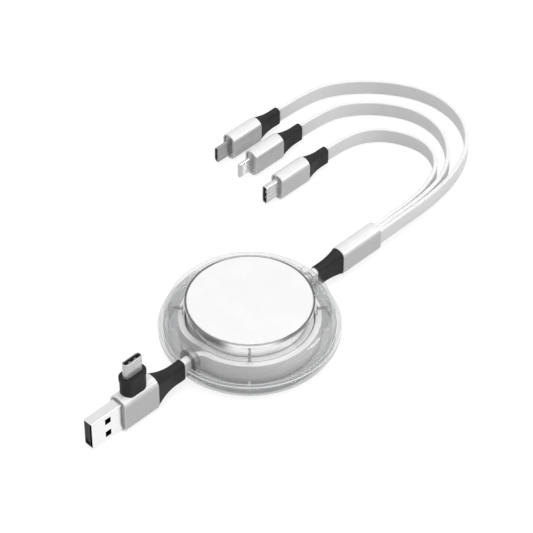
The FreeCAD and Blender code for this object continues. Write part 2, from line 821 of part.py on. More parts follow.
def wound_cable():
    """The turns on the hub as one solid, with a groove between each two on the visible top."""
    inside = number("hub_radius") + 0.1
    outside = number(COIL_RADIUS)
    low = number(FLANGE_TOP)
    top = low + number("cable_width")
    groove = number("turn_pitch") - number("main_thickness")
    turns = max(1, round((outside - inside) / number("turn_pitch")))
    pitch = (outside - inside + groove) / turns
    outline = [FreeCAD.Vector(inside, 0, low)]
    for index in range(turns):
        start = inside + index * pitch
        end = start + pitch - groove
        outline.append(FreeCAD.Vector(start, 0, top))
        outline.append(FreeCAD.Vector(end, 0, top))
        if index < turns - 1:
            outline.append(FreeCAD.Vector(end, 0, top - groove * 4))
            outline.append(FreeCAD.Vector(end + groove, 0, top - groove * 4))
    outline.append(FreeCAD.Vector(outside, 0, low))
    outline.append(outline[0])
    face = Part.Face(Part.makePolygon(outline))
    shape = face.revolve(FreeCAD.Vector(), FreeCAD.Vector(0, 0, 1), 360)
    keep("wound_cable", feature_from("wound_cable", shape))


def mainspring():
    """A flat spiral strip from the axle post to the barrel wall, in half turns."""
    strip = number("spring_strip")
    pitch = number("spring_pitch")
    radius = number("post_radius") + strip
    limit = number(f"{COIL_RADIUS} - barrel_wall") - strip
    ribbon = Ribbon(radius, 0, 90, strip)
    while radius + pitch / 2 < limit:
        ribbon.bend(radius + pitch / 4, 180)
        radius += pitch / 2
    low = number(f"{BARREL_LOW} + barrel_floor + 0.2")
    keep("mainspring", feature_from("mainspring", ribbon.solid(low, number("barrel_depth") - 0.6)))


# Pieces shared by the plugs and the splitter: local x = 0 is the front rim, the cable leaves at +x

def sleeve(label, thickness, height, radius, length):
    inner = (f"{thickness} - 2 * sleeve_wall", f"{height} - 2 * sleeve_wall", f"{radius} - sleeve_wall")
    body = prism(label, [round_box(thickness, height, radius), round_box(*inner)], "0", length)
    fillet_where(body, "sleeve_edge", in_plane_x("0"))
    fillet_where(body, "sleeve_edge", in_plane_x(length))
    return body


def core(label, thickness, height, radius, length):
    gap = "2 * ( sleeve_wall + core_clearance )"
    return prism(
        label,
        [round_box(f"{thickness} - {gap}", f"{height} - {gap}", f"{radius} - sleeve_wall")],
        "core_recess",
        f"{length} - core_recess",
    )


def relief(label, start, length, big, small):
    """A boot that sweeps in from the sleeve's back in a hollow curve, then runs straight to its end."""
    sections = []
    for station in RELIEF_STATIONS:
        share = max(0.0, 1.0 - station / RELIEF_WAIST) ** RELIEF_HOLLOW
        sizes = []
        for front, end in zip(big, small):
            sizes.append(f"{end} + ( {front} - 2 * relief_inset - {end} ) * {share:.4f}")
        corner = f"relief_round + ( {big[2]} - relief_inset - relief_round ) * {share:.4f}"
        sections.append((f"{start} + {length} * {station}", sizes[0], sizes[1], corner))
    return lofted(label, sections)


def neck(label, start, end):
    outline = round_box("neck_thickness", "neck_height", "neck_round")
    return prism(label, [outline], start, f"{end} - ( {start} )")


def tail(label, start, end):
    corner = "main_thickness / 4"
    return prism(label, [round_box("main_thickness", "cable_width", corner)], start, f"{end} - ( {start} )")


def move_all(labels, x, y, z, turn=None):
    """Put pieces that share a local frame where they belong."""
    for label in labels:
        if turn:
            turn_about(pieces[label], *turn)
        place(pieces[label], x, y, z)


# Host end

def host_body():
    section = ("host_thickness", "host_height", "host_round")
    keep("host_sleeve", sleeve("host_sleeve", *section, "host_length"))
    body = core("host_core", *section, "host_length")
    around = "2 * core_clearance"
    seat = round_box(f"a_height + {around}", f"a_width + {around}", "a_round + core_clearance")
    pocket(body, seat, "core_recess", "a_seat")
    keep("host_core", body)
    keep("host_relief", relief("host_relief", "host_length", "host_relief_length",
                               section, ("host_end_thickness", "host_end_height")))
    relief_end = "host_length + host_relief_length"
    puck_centre = HOST_FRONT
    keep("host_neck", neck("host_neck", relief_end, f"{puck_centre} - {NECK_END}"))
    keep("host_tail", tail("host_tail", f"{puck_centre} - {NECK_END}", f"{puck_centre} - {TAIL_END}"))
    labels = ["host_sleeve", "host_core", "host_relief", "host_neck", "host_tail"]
    move_all(labels, f"- {HOST_FRONT}", "0", LINE)


def type_a_plug():
    back = "( core_recess + a_seat )"
    hollow = ("a_height - 2 * a_wall", "a_width - 2 * a_wall", "a_round - a_wall * 0.8")
    tube = prism("a_plug_tube", [round_box("a_height", "a_width", "a_round"), round_box(*hollow)],
                 "- a_reach", f"a_reach + {back}")
    place(tube, f"- {HOST_FRONT}", "0", LINE)
    windows = []
    for sign in ("-", "+"):
        windows.append(block(
            "a_window", "a_window", "a_height * 2", "a_window",
            f"- {HOST_FRONT} - a_reach + a_window_place - a_window / 2", "- a_height",
            f"{LINE} {sign} a_window_pitch / 2 - a_window / 2",
        ))
    keep("a_plug_shell", cut("a_plug_shell", tube, windows))

    inside = "( a_height / 2 - a_wall - core_clearance )"
    width = "( a_width - 2 * a_wall - 2 * core_clearance )"
    tongue = block(
        "a_tongue_bar", f"a_reach - a_tongue_setback + {back}", "a_tongue", f"{width} - 0.4",
        f"- {HOST_FRONT} - a_reach + a_tongue_setback", f"{inside} - a_tongue",
        f"{LINE} - {width} / 2 + 0.2",
    )
    rear = prism("a_tongue_rear", [round_box(f"2 * {inside}", width, "a_round - a_wall * 0.8")], "0", back)
    place(rear, f"- {HOST_FRONT}", "0", LINE)
    keep("a_plug_tongue", fuse("a_plug_tongue", [tongue, rear]))

    strips = []
    for index in range(A_CONTACTS):
        step = index - (A_CONTACTS - 1) / 2
        strips.append(block(
            "a_contact", "a_contact_length", "a_contact_thickness", "a_contact_width",
            f"- {HOST_FRONT} - a_reach + a_tongue_setback + 0.6",
            f"{inside} - a_tongue - a_contact_thickness",
            f"{LINE} + {step} * a_contact_pitch - a_contact_width / 2",
        ))
    keep("a_plug_contacts", group("a_plug_contacts", strips))


def type_c_plug(name, x, y, z, turn=None):
    """Metal mouth, dark liner and two bright springs. Local x = 0 is where it leaves its body."""
    bore = ("( c_height - 2 * c_wall )", "( c_width - 2 * c_wall )")
    outlines = [slot("c_height", "c_width"), slot(*bore)]
    mouth = prism(f"{name}_shell", outlines, "- c_reach", "c_reach + c_seat")
    fillet_where(mouth, "c_wall * 0.4", in_plane_x("- c_reach"))
    keep(f"{name}_shell", mouth)
    tight = [f"( {size} - 2 * core_clearance )" for size in bore]
    liner = prism(f"{name}_liner", [slot(*tight)], "- c_reach + 0.3", "c_reach - 0.3 + c_seat")
    pocket(liner, slot("c_slot_height", "c_slot_width"), "- c_reach + 0.3", "c_slot_depth")
    keep(f"{name}_liner", liner)
    springs = []
    side = "- c_slot_height / 2"
    proud = "- c_slot_height / 2 + c_contact_thickness"
    for sign in ("-", "+"):
        near = f"{sign} c_contact_pitch / 2 - c_contact_width / 2"
        far = f"{sign} c_contact_pitch / 2 + c_contact_width / 2"
        outline = polygon([(side, near), (proud, near), (proud, far), (side, far)])
        springs.append(prism(f"{name}_spring", [outline], "- c_reach + 0.5", "c_contact_length"))
    keep(f"{name}_contacts", group(f"{name}_contacts", springs))
    move_all([f"{name}_shell", f"{name}_liner", f"{name}_contacts"], x, y, z, turn)


def host_post():
    """The black post on the narrow top of the host sleeve, with a second plug standing on it."""
    upright = ((0, 1, 0), 90)
    bury = "host_round"
    top = f"( {LINE} + host_height / 2 + post_height )"
    centre = f"- {HOST_FRONT} + post_place"
    trunk = prism("post_trunk", [slot("post_thickness", "post_length")], "0", f"post_height + {bury}")
    lip = prism("post_lip_ring", [slot("post_thickness + 2 * post_lip", "post_length + 2 * post_lip")],
                "0", "post_lip_height")
    fillet_where(lip, "post_lip", in_plane_x("0"))
    seat = prism("post_seat", [slot("c_height + 2 * core_clearance", "c_width + 2 * core_clearance")],
                 "- 1", "c_seat + 1")
    for piece in (trunk, lip, seat):
        turn_about(piece, *upright)
        place(piece, centre, "0", top)
    sleeve_outline = round_box("host_thickness", "host_height", "host_round")
    saddle = prism("post_saddle", [sleeve_outline], "0", "host_length")
    place(saddle, f"- {HOST_FRONT}", "0", LINE)
    keep("post_collar", cut("post_collar", fuse("post_whole", [trunk, lip]), [seat, saddle]))
    type_c_plug("post", centre, "0", top, upright)


# Splitter and leads

def splitter():
    section = ("splitter_thickness", "splitter_height", "splitter_round")
    keep("splitter_sleeve", sleeve("splitter_sleeve", *section, "splitter_length"))
    keep("splitter_core", core("splitter_core", *section, "splitter_length"))
    keep("splitter_relief", relief("splitter_relief", "splitter_length", "splitter_relief_length",
                                   section, ("host_end_thickness", "host_end_height")))
    relief_end = "splitter_length + splitter_relief_length"
    keep("leads_neck", neck("leads_neck", relief_end, f"{SPLITTER_FRONT} - {NECK_END}"))
    tail_ends = (f"{SPLITTER_FRONT} - {NECK_END}", f"{SPLITTER_FRONT} - {TAIL_END}")
    keep("leads_tail", tail("leads_tail", *tail_ends))
    labels = ["splitter_sleeve", "splitter_core", "splitter_relief", "leads_neck", "leads_tail"]
    move_all(labels, SPLITTER_FRONT, "0", LINE, ((0, 0, 1), 180))


def lead_cable(name, lane, route):
    """A flat cable on edge: straight runs joined by tangent arcs as large as the runs allow."""
    start = FreeCAD.Vector(
        number(f"{SPLITTER_FRONT} - core_recess"),
        lane * number("lead_spacing"),
        number(LINE),
    )
    end = FreeCAD.Vector(
        number(f"{name}_place_x + plug_length + plug_relief_length"),
        number(f"{name}_place_y"),
        number("plug_height / 2"),
    )
    points = [start] + [FreeCAD.Vector(*point) for point in route] + [end]
    edges = []
    radii = []
    at = points[0]
    for before, corner, after in zip(points, points[1:], points[2:]):
        back = before - corner
        ahead = after - corner
        turn = math.pi - back.getAngle(ahead)
        reach = 0.45 * min(back.Length, ahead.Length)
        radius = reach / math.tan(turn / 2)
        back.normalize()
        ahead.normalize()
        first = corner + back * reach
        last = corner + ahead * reach
        inward = back + ahead
        inward.normalize()
        middle = corner + inward * (radius / math.cos(turn / 2) - radius)
        edges.append(Part.LineSegment(at, first).toShape())
        edges.append(Part.Arc(first, middle, last).toShape())
        radii.append(radius)
        at = last
    edges.append(Part.LineSegment(at, points[-1]).toShape())
    spine = Part.Wire(edges)
    half_t = number("lead_thickness") / 2
    half_w = number("cable_width") / 2
    corners = []
    for y, z in ((-half_t, -half_w), (half_t, -half_w), (half_t, half_w), (-half_t, half_w)):
        corners.append(start + FreeCAD.Vector(0, y, z))
    section = Part.makePolygon(corners + corners[:1])
    pipe = Part.BRepOffsetAPI.MakePipeShell(spine)
    pipe.setBiNormalMode(FreeCAD.Vector(0, 0, 1))
    pipe.add(section)
    pipe.build()
    pipe.makeSolid()
    shape = pipe.shape()
    ratio = shape.Volume / (4 * half_t * half_w * spine.Length)
    print(f"{name}_lead length {spine.Length:.1f} volume ratio {ratio:.4f}")
    print(f"{name}_lead radii", " ".join(f"{radius:.0f}" for radius in radii))
    keep(f"{name}_lead", feature_from(f"{name}_lead", shape))


def plug_body(name, seat):
    section = ("plug_thickness", "plug_height", "plug_round")
    keep(f"{name}_sleeve", sleeve(f"{name}_sleeve", *section, "plug_length"))
    body = core(f"{name}_core", *section, "plug_length")
    pocket(body, seat, "core_recess", "c_seat - core_recess")
    keep(f"{name}_core", body)
    keep(f"{name}_relief", relief(f"{name}_relief", "plug_length", "plug_relief_length",
                                  section, ("plug_end_thickness", "plug_end_height")))
    labels = [f"{name}_sleeve", f"{name}_core", f"{name}_relief"]
    move_all(labels, f"{name}_place_x", f"{name}_place_y", "plug_height / 2")


def micro_outline(inset):
    """A flat plug with its two corners cut back on one wide side."""
    half = f"( micro_width / 2 - {inset} )"
    side = f"( micro_height / 2 - {inset} )"
    cut_back = f"( {half} - micro_corner )"
    knee = f"( {side} - micro_corner )"
    return polygon([
        (f"- {side}", f"- {half}"), (knee, f"- {half}"), (side, f"- {cut_back}"),
        (side, cut_back), (knee, half), (f"- {side}", half),
    ])


def micro_plug():
    plug_body("micro", micro_outline("( - core_clearance )"))
    keep("micro_shell", prism("micro_shell", [micro_outline("0"), micro_outline("micro_wall")],
                              "- micro_reach", "micro_reach + c_seat"))
    bore = "( micro_wall + core_clearance )"
    liner = prism("micro_liner", [micro_outline(bore)], "- micro_reach + 0.8", "micro_reach - 0.8 + c_seat")
    keep("micro_liner", liner)
    move_all(["micro_shell", "micro_liner"], "micro_place_x", "micro_place_y", "plug_height / 2")


def tab_plug():
    """A solid metal tab, round at its edges and tip, with eight pads on each wide side."""
    plug_body("tab", slot("tab_height + 2 * core_clearance", "tab_width + 2 * core_clearance"))
    blade = prism("tab_blade", [slot("tab_height", "tab_width")], "- tab_reach", "tab_reach + c_seat")
    fillet_where(blade, "tab_tip_round", in_plane_x("- tab_reach"))
    keep("tab_blade", blade)
    move_all(["tab_blade"], "tab_place_x", "tab_place_y", "plug_height / 2")
    pads = []
    for side in ("- tab_height / 2 - pad_thickness", "tab_height / 2"):
        for index in range(TAB_PADS):
            step = index - (TAB_PADS - 1) / 2
            pads.append(block(
                "tab_pad", "pad_length", "pad_thickness", "pad_width",
                "tab_place_x - tab_reach + pad_setback", f"tab_place_y + {side}",
                f"plug_height / 2 + {step} * pad_pitch - pad_width / 2",
            ))
    keep("tab_pads", group("tab_pads", pads))


def usbc_plug():
    plug_body("usbc", slot("c_height + 2 * core_clearance", "c_width + 2 * core_clearance"))
    type_c_plug("usbc", "usbc_place_x", "usbc_place_y", "plug_height / 2")


def check_and_write():
    doc.recompute()
    for item in doc.Objects:
        if "Invalid" in item.State or "Error" in item.State:
            raise RuntimeError(f"{item.Label} failed: {item.State}")
    for label, piece in pieces.items():
        if piece.Shape.isNull() or not piece.Shape.isValid() or not piece.Shape.Solids:
            raise RuntimeError(f"{label} has no valid solid")
    os.makedirs("parts", exist_ok=True)
    for label, piece in pieces.items():
        piece.Shape.exportStep(f"parts/{label}.step")
    print(len(pieces), "sub-parts")


def main():
    fill_sheet()
    base_tray()
    clear_cover()
    chrome_collar()
    lid_disc()
    port_guide("host", -1)
    port_guide("leads", 1)
    strand("host", 0)
    strand("leads", 180)
    latch_ball()
    spool_drum()
    wound_cable()
    mainspring()
    host_body()
    type_a_plug()
    host_post()
    splitter()
    micro_plug()
    tab_plug()
    usbc_plug()
    for name, lane, route in (("micro", -1, MICRO_ROUTE), ("tab", 0, TAB_ROUTE), ("usbc", 1, USBC_ROUTE)):
        lead_cable(name, lane, route)
    check_and_write()


main()
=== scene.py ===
"""Looks of a retractable multi charging cable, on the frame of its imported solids.

Metres. A clear puck with a white lid stands at the origin. The flat cord runs through it along X:
the host end lies towards -X, and towards +X the cord splits into three leads that loop back.
"""

import math

import bmesh
import bpy
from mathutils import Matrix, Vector


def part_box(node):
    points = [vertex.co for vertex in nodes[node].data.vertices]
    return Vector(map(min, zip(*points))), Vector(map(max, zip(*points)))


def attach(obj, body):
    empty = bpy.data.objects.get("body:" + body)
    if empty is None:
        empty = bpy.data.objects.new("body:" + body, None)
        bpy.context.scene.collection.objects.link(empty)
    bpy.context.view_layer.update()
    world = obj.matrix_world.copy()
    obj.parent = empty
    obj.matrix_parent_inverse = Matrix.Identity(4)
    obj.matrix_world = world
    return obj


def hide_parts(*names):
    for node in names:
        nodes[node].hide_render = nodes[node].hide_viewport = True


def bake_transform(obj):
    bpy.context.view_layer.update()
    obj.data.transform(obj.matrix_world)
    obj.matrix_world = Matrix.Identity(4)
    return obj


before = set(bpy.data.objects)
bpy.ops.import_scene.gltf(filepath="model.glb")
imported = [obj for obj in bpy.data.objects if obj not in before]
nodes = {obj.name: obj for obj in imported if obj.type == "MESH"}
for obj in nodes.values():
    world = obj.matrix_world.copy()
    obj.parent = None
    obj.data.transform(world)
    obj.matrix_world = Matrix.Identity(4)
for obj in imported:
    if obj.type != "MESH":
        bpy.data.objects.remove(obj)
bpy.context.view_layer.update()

MM = 0.001

# Flat cord
CORD_WIDTH = 6.4 * MM
LEAD_THICKNESS = 1.6 * MM
LEAD_ROUND = 0.4 * MM
MAIN_THICKNESS = 2.2 * MM
MAIN_ROUND = 0.55 * MM
CORD_LINE = 7.6 * MM
PORT_INSIDE = 29.6 * MM
NECK_END = 30.8 * MM

# Radii and heights on the puck where its finishes, its painted shade and its painted highlights change
SOFT_EDGE = 0.2 * MM
EDGE_REACH = 0.8 * MM
FIN_INNER_RADIUS = 24.2 * MM
FIN_OUTER_RADIUS = 29.2 * MM
# Heights of the painted highlight and the painted shade line along the dome fins' tops
FIN_HIGHLIGHT_LINE = (13.9 * MM, 14.3 * MM)
FIN_SHADE_LINE = (14.4 * MM, 14.9 * MM)
DOME_WALL_RADIUS = 29.4 * MM
ROOF_CORNER = 15.5 * MM
RIM_RADIUS = 30.9 * MM
RIM_SOFT_EDGE = 0.5 * MM
RIM_INNER_EDGE = 31.65 * MM
RIM_OUTER_EDGE = 32.85 * MM
RIM_TOP = 7.1 * MM
MOAT_FLOOR = 3.4 * MM
# Heights of the painted highlight along the tray ribs' tops
RIB_HIGHLIGHT_LINE = (3.9 * MM, 4.2 * MM)
COLLAR_FOOT = 11.2 * MM
COLLAR_LIP = 18.55 * MM

# Sockets of the colour mix node, which share their names with its other kinds
COLOUR_A = 6
COLOUR_B = 7
COLOUR_RESULT = 2

# Direction from the puck to the lens
TO_LENS = (-0.517, -0.517, 0.682)

# Routes of the leads from the splitter to their plugs, in millimetres
LEAD_ROUTES = {
    "micro": [
        (65.1, -1.75, 7.6), (79.0, -1.6, 7.6), (98.0, 0.2, 5.2), (117.0, 4.3, 3.5), (133.9, 13.0, 3.3),
        (144.1, 28.2, 3.3), (144.7, 46.5, 3.3), (135.3, 63.5, 3.3), (120.0, 75.2, 4.0), (104.5, 76.8, 5.7),
        (91.1, 76.8, 5.7),
    ],
    "tab": [
        (65.1, 0.0, 7.6), (77.0, 0.15, 7.6), (95.0, 1.95, 5.3), (110.6, 5.9, 3.6), (123.0, 13.6, 3.3),
        (131.5, 25.8, 3.3), (132.6, 40.0, 3.3), (126.3, 52.9, 3.3), (115.0, 62.0, 4.1), (102.5, 63.7, 5.7),
        (90.3, 63.7, 5.7),
    ],
    "usbc": [
        (65.1, 1.75, 7.6), (76.0, 1.9, 7.6), (92.0, 3.8, 5.4), (105.6, 7.6, 3.7), (115.7, 13.5, 3.3),
        (120.8, 23.6, 3.3), (118.6, 34.7, 3.3), (112.4, 43.3, 3.7), (100.2, 46.8, 5.7), (87.5, 46.8, 5.7),
    ],
}

# Ends that have a sleeve, a core and a relief
ENDS = ["host", "splitter", "micro", "tab", "usbc"]


# Camera

def set_camera():
    """The photograph's view: a long lens that looks down across the puck along +X +Y."""
    data = bpy.data.cameras.new("photo_camera")
    data.lens = 175.0
    data.sensor_width = 36.0
    data.clip_start = 0.05
    data.clip_end = 20.0
    camera = bpy.data.objects.new("photo_camera", data)
    camera.location = (-0.46988, -0.47835, 0.66161)
    camera.rotation_euler = (math.radians(46.94), 0.0, math.radians(-45.0))
    bpy.context.scene.collection.objects.link(camera)
    bpy.context.scene.camera = camera


# Effects that several finishes share

def new_group(name, inputs, outputs):
    """A shader node group. Inputs are (name, socket kind, value), outputs are (name, socket kind)."""
    group = bpy.data.node_groups.new(name, "ShaderNodeTree")
    for label, kind, value in inputs:
        socket = group.interface.new_socket(label, in_out="INPUT", socket_type=kind)
        if value is not None:
            socket.default_value = value
    for label, kind in outputs:
        group.interface.new_socket(label, in_out="OUTPUT", socket_type=kind)
    entry = group.nodes.new("NodeGroupInput")
    leave = group.nodes.new("NodeGroupOutput")
    return group, entry, leave


def noise_into(group, vector, scale, detail, roughness=0.5):
    """A noise texture in a group, from 0 to 1."""
    noise = group.nodes.new("ShaderNodeTexNoise")
    noise.inputs["Detail"].default_value = detail
    noise.inputs["Roughness"].default_value = roughness
    group.links.new(vector, noise.inputs["Vector"])
    group.links.new(scale, noise.inputs["Scale"])
    return noise.outputs["Fac"]


def spread(group, value, low, high, out_low=0.0, out_high=1.0):
    """Stretch a value from one range to another, with soft ends."""
    node = group.nodes.new("ShaderNodeMapRange")
    node.interpolation_type = "SMOOTHSTEP"
    node.inputs["From Min"].default_value = low
    node.inputs["From Max"].default_value = high
    node.inputs["To Min"].default_value = out_low
    node.inputs["To Max"].default_value = out_high
    group.links.new(value, node.inputs["Value"])
    return node.outputs["Result"]


def moulded_grain_group():
    """Fine spark-eroded grain of moulded plastic, with a broader unevenness under it."""
    group, entry, leave = new_group(
        "moulded_grain",
        [("Place", "NodeSocketVector", None), ("Scale", "NodeSocketFloat", 3000.0)],
        [("Height", "NodeSocketFloat")],
    )
    fine = noise_into(group, entry.outputs["Place"], entry.outputs["Scale"], detail=3.0)
    broader = group.nodes.new("ShaderNodeMath")
    broader.operation = "MULTIPLY"
    broader.inputs[1].default_value = 0.12
    group.links.new(entry.outputs["Scale"], broader.inputs[0])
    broad = noise_into(group, entry.outputs["Place"], broader.outputs["Value"], detail=2.0)
    blend = group.nodes.new("ShaderNodeMix")
    blend.inputs["Factor"].default_value = 0.3
    group.links.new(fine, blend.inputs["A"])
    group.links.new(broad, blend.inputs["B"])
    group.links.new(blend.outputs["Result"], leave.inputs["Height"])
    return group


def handling_group():
    """Soft marks that handling leaves on a surface, from 0 to 1."""
    group, entry, leave = new_group(
        "handling",
        [("Place", "NodeSocketVector", None), ("Scale", "NodeSocketFloat", 120.0)],
        [("Mask", "NodeSocketFloat")],
    )
    marks = noise_into(group, entry.outputs["Place"], entry.outputs["Scale"], detail=5.0, roughness=0.6)
    group.links.new(spread(group, marks, 0.4, 0.7), leave.inputs["Mask"])
    return group


def drawn_lines_group():
    """Fine lines along X that drawing or brushing leaves on metal."""
    group, entry, leave = new_group(
        "drawn_lines",
        [("Place", "NodeSocketVector", None), ("Scale", "NodeSocketFloat", 5000.0)],
        [("Height", "NodeSocketFloat"), ("Mask", "NodeSocketFloat")],
    )
    stretch = group.nodes.new("ShaderNodeVectorMath")
    stretch.operation = "MULTIPLY"
    stretch.inputs[1].default_value = (0.03, 1.0, 1.0)
    group.links.new(entry.outputs["Place"], stretch.inputs[0])
    lines = noise_into(group, stretch.outputs["Vector"], entry.outputs["Scale"], detail=3.0, roughness=0.7)
    group.links.new(lines, leave.inputs["Height"])
    group.links.new(spread(group, lines, 0.35, 0.65), leave.inputs["Mask"])
    return group


GRAIN = moulded_grain_group()
HANDLING = handling_group()
DRAWN = drawn_lines_group()


# Finishes

def grey(value):
    return (value, value, value)


def cool_grey(value):
    return (value, value, value + 0.005)


# As a tint, this leaves a colour as it is
PURE_WHITE = grey(1.0)


class Finish:
    """A material with a surface shader and short ways to give it detail."""

    def __init__(self, name):
        self.material = bpy.data.materials.new(name)
        self.material.use_nodes = True
        self.tree = self.material.node_tree
        self.shader = self.tree.nodes["Principled BSDF"]
        self.surface = self.tree.nodes["Material Output"].inputs["Surface"]
        self.place = self.tree.nodes.new("ShaderNodeTexCoord").outputs["Object"]

    def set(self, **values):
        """Plain values on the shader, named with underscores for spaces."""
        for name, value in values.items():
            self.shader.inputs[name.replace("_", " ")].default_value = value
        return self

    def effect(self, group, scale):
        """A shared effect on this surface, at its own scale."""
        node = self.tree.nodes.new("ShaderNodeGroup")
        node.node_tree = group
        node.inputs["Scale"].default_value = scale
        self.tree.links.new(self.place, node.inputs["Place"])
        return node

    def blend(self, mask, low, high):
        """A colour between two shades by a mask."""
        mix = self.tree.nodes.new("ShaderNodeMix")
        mix.data_type = "RGBA"
        mix.inputs[COLOUR_A].default_value = (*low, 1.0)
        mix.inputs[COLOUR_B].default_value = (*high, 1.0)
        self.tree.links.new(mask, mix.inputs[0])
        return mix.outputs[COLOUR_RESULT]

    def times(self, first, second):
        """Two colours over one another."""
        mix = self.tree.nodes.new("ShaderNodeMix")
        mix.data_type = "RGBA"
        mix.blend_type = "MULTIPLY"
        mix.inputs[0].default_value = 1.0
        self.tree.links.new(first, mix.inputs[COLOUR_A])
        self.tree.links.new(second, mix.inputs[COLOUR_B])
        return mix.outputs[COLOUR_RESULT]

    def colour(self, source):
        """Base colour from a socket."""
        self.tree.links.new(source, self.shader.inputs["Base Color"])
        return self

    def shades(self, mask, low, high):
        """Base colour between two shades by a mask."""
        return self.colour(self.blend(mask, low, high))

    def along(self, axis):
        """The place on the object along X, Y or Z."""
        parts = self.tree.nodes.new("ShaderNodeSeparateXYZ")
        self.tree.links.new(self.place, parts.inputs["Vector"])
        return parts.outputs[axis]

    def height_above(self, height, soft=SOFT_EDGE):
        """0 below a height, rising to 1 over a soft edge."""
        return spread(self.tree, self.along("Z"), height, height + soft)

    def off_diagonal(self):
        """0 on the upright planes of the fins and ribs, at 45 degrees, more towards X, less towards Y."""
        sides = [self.calc("ABSOLUTE", self.along(axis), 0.0) for axis in ("X", "Y")]
        return self.calc("SUBTRACT", *sides)

    def edge_line(self, low, high, reach):
        """1 between two heights and within a reach of the fins' and ribs' planes."""
        soft = SOFT_EDGE / 2
        above = self.height_above(low - soft, soft)
        below = self.calc("SUBTRACT", 1.0, self.height_above(high, soft))
        away = self.calc("ABSOLUTE", self.off_diagonal(), 0.0)
        beside = spread(self.tree, away, reach, reach + soft, 1.0, 0.0)
        return self.calc("MULTIPLY", self.calc("MULTIPLY", above, below), beside)

    def facing(self, axis):
        """How far the surface faces along X, Y or Z, from -1 to 1."""
        normal = self.tree.nodes.new("ShaderNodeSeparateXYZ")
        self.tree.links.new(self.place.node.outputs["Normal"], normal.inputs["Vector"])
        return normal.outputs[axis]

    def lit_top_or_end(self):
        """0 on upright sides, 1 on top and on the two ends along X, where painted light makes a surface
        lighter.
        """
        top = spread(self.tree, self.facing("Z"), 0.15, 0.75)
        end = spread(self.tree, self.calc("ABSOLUTE", self.facing("X"), 0.0), 0.15, 0.75)
        return self.calc("MAXIMUM", top, end)

    def slant(self):
        """0 where the surface is seen squarely, 1 where it is seen edge on."""
        weight = self.tree.nodes.new("ShaderNodeLayerWeight")
        weight.inputs["Blend"].default_value = 0.5
        return weight.outputs["Facing"]

    def distance_beyond(self, radius, soft=SOFT_EDGE):
        """0 nearer to the puck's axis than a radius, rising to 1 over a soft edge."""
        flat = self.tree.nodes.new("ShaderNodeVectorMath")
        flat.operation = "MULTIPLY"
        flat.inputs[1].default_value = (1.0, 1.0, 0.0)
        self.tree.links.new(self.place, flat.inputs[0])
        length = self.tree.nodes.new("ShaderNodeVectorMath")
        length.operation = "LENGTH"
        self.tree.links.new(flat.outputs["Vector"], length.inputs[0])
        return spread(self.tree, length.outputs["Value"], radius, radius + soft)

    def gloss(self, mask, smooth, rough):
        """Roughness between two values by a mask."""
        node = self.tree.nodes.new("ShaderNodeMapRange")
        node.inputs["To Min"].default_value = smooth
        node.inputs["To Max"].default_value = rough
        self.tree.links.new(mask, node.inputs["Value"])
        self.tree.links.new(node.outputs["Result"], self.shader.inputs["Roughness"])
        return self

    def see_through(self, colour, squarely, edge_on):
        """A thin clear wall, with the shares that sight crosses straight where seen squarely and edge on.

        The rest of it bends what lies behind. Outlines get painted shade, turning greyer where the wall is
        seen edge on; light falls through freely, as does what bright metal mirrors, and the outer side has
        a gloss.
        """
        path = self.tree.nodes.new("ShaderNodeLightPath")
        straight = spread(self.tree, self.slant(), 0.5, 0.97, squarely, edge_on)
        falls = self.calc("MAXIMUM", path.outputs["Is Shadow Ray"], path.outputs["Is Diffuse Ray"])
        light = self.calc("MAXIMUM", falls, path.outputs["Is Glossy Ray"])
        through = self.tree.nodes.new("ShaderNodeBsdfTransparent")
        # Painted shade: the see-through colour turns greyer where the wall is seen edge on.
        painted_outline_mask = spread(self.tree, self.slant(), 0.7, 0.97)
        painted_outline_shade = (0.6, 0.605, 0.61)
        painted_outline_tint = self.times(colour, self.blend(painted_outline_mask, PURE_WHITE, painted_outline_shade))
        self.tree.links.new(painted_outline_tint, through.inputs["Color"])
        share = self.calc("MAXIMUM", light, straight)
        wall = self.mixed(share, self.shader.outputs["BSDF"], through.outputs["BSDF"])
        shine = self.tree.nodes.new("ShaderNodeBsdfGlossy")
        shine.inputs["Roughness"].default_value = 0.03
        glossy = self.mixed(self.outer_gloss(light), wall, shine.outputs["BSDF"])
        self.tree.links.new(glossy, self.surface)
        return self

    def frosted(self, mask):
        """A dull white by a mask, over all that the surface shows so far."""
        dull = self.tree.nodes.new("ShaderNodeBsdfDiffuse")
        dull.inputs["Color"].default_value = (*grey(0.93), 1.0)
        below = self.surface.links[0].from_socket
        self.tree.links.new(self.mixed(mask, below, dull.outputs["BSDF"]), self.surface)
        return self

    def outer_gloss(self, light):
        """How much the outer side of a clear wall mirrors, and nothing for light that falls through it."""
        mirror = self.tree.nodes.new("ShaderNodeFresnel")
        mirror.inputs["IOR"].default_value = 1.49
        side = self.tree.nodes.new("ShaderNodeNewGeometry")
        plain = self.calc("MAXIMUM", light, side.outputs["Backfacing"])
        return self.calc("MULTIPLY", mirror.outputs["Fac"], self.calc("SUBTRACT", 1.0, plain))

    def mixed(self, share, first, second):
        """Two shaders by the share of the second."""
        mix = self.tree.nodes.new("ShaderNodeMixShader")
        self.tree.links.new(share, mix.inputs["Fac"])
        self.tree.links.new(first, mix.inputs[1])
        self.tree.links.new(second, mix.inputs[2])
        return mix.outputs["Shader"]

    def calc(self, operation, first, second):
        """Arithmetic on two values, each a socket or a number."""
        node = self.tree.nodes.new("ShaderNodeMath")
        node.operation = operation
        for socket, value in zip(node.inputs, (first, second)):
            if isinstance(value, float):
                socket.default_value = value
            else:
                self.tree.links.new(value, socket)
        return node.outputs["Value"]

    def relief(self, height, distance):
        """Bumps as high as a distance where the height is 1."""
        bump = self.tree.nodes.new("ShaderNodeBump")
        bump.inputs["Strength"].default_value = 1.0
        bump.inputs["Distance"].default_value = distance
        self.tree.links.new(height, bump.inputs["Height"])
        self.tree.links.new(bump.outputs["Normal"], self.shader.inputs["Normal"])
        return self


